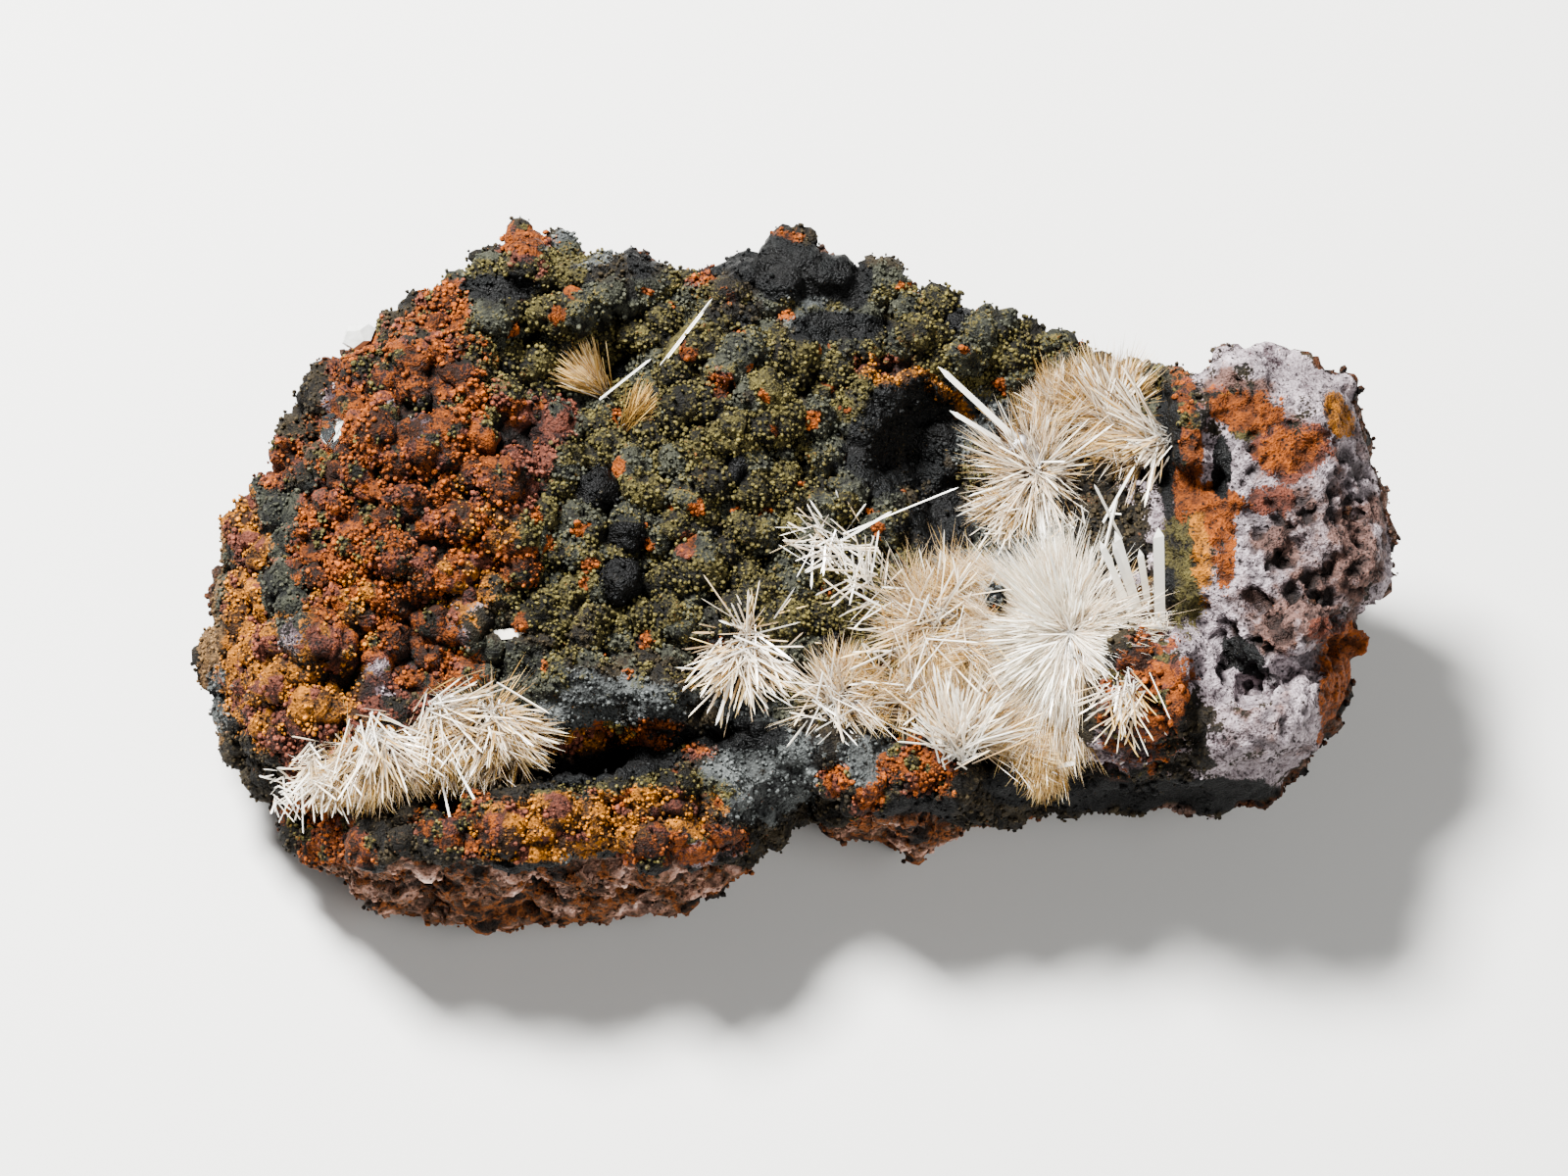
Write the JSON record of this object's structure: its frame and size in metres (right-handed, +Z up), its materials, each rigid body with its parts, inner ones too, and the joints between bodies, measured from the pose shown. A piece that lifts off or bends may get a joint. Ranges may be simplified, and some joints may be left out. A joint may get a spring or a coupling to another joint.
{
  "type": "mineral specimen",
  "caption": "Hand specimen of scholzite: radiating sprays of fine pale needles on a knobbly lump of iron-stained gossan.",
  "frame": {"origin": "middle of the bounding box in plan, on the table", "axes": "+Z up from the base, -Y to the front, where the layered ledge is, and +X to the raised lilac block"},
  "size_m": [0.09, 0.0491, 0.0305],
  "materials": {
    "gossan": "matt, gritty botryoidal crust with ochre, rust, slate and lilac patches",
    "scholzite": "silky to glassy translucent needles, straw at the root and white at the tip",
    "quartz": "broken, slightly glossy",
    "clear_quartz": "clear, glassy faces"
  },
  "bodies": {
    "root": {"gossan_matrix": "gossan", "main_spray": "scholzite", "back_spray": "scholzite", "outlying_spray": "scholzite", "small_spray": "scholzite", "left_spray": "scholzite", "upper_fan": "scholzite", "lower_fan": "scholzite", "long_needle": "scholzite", "small_prism": "scholzite", "quartz_chip": "quartz", "clear_crystal": "clear_quartz"}
  },
  "joints": []
}
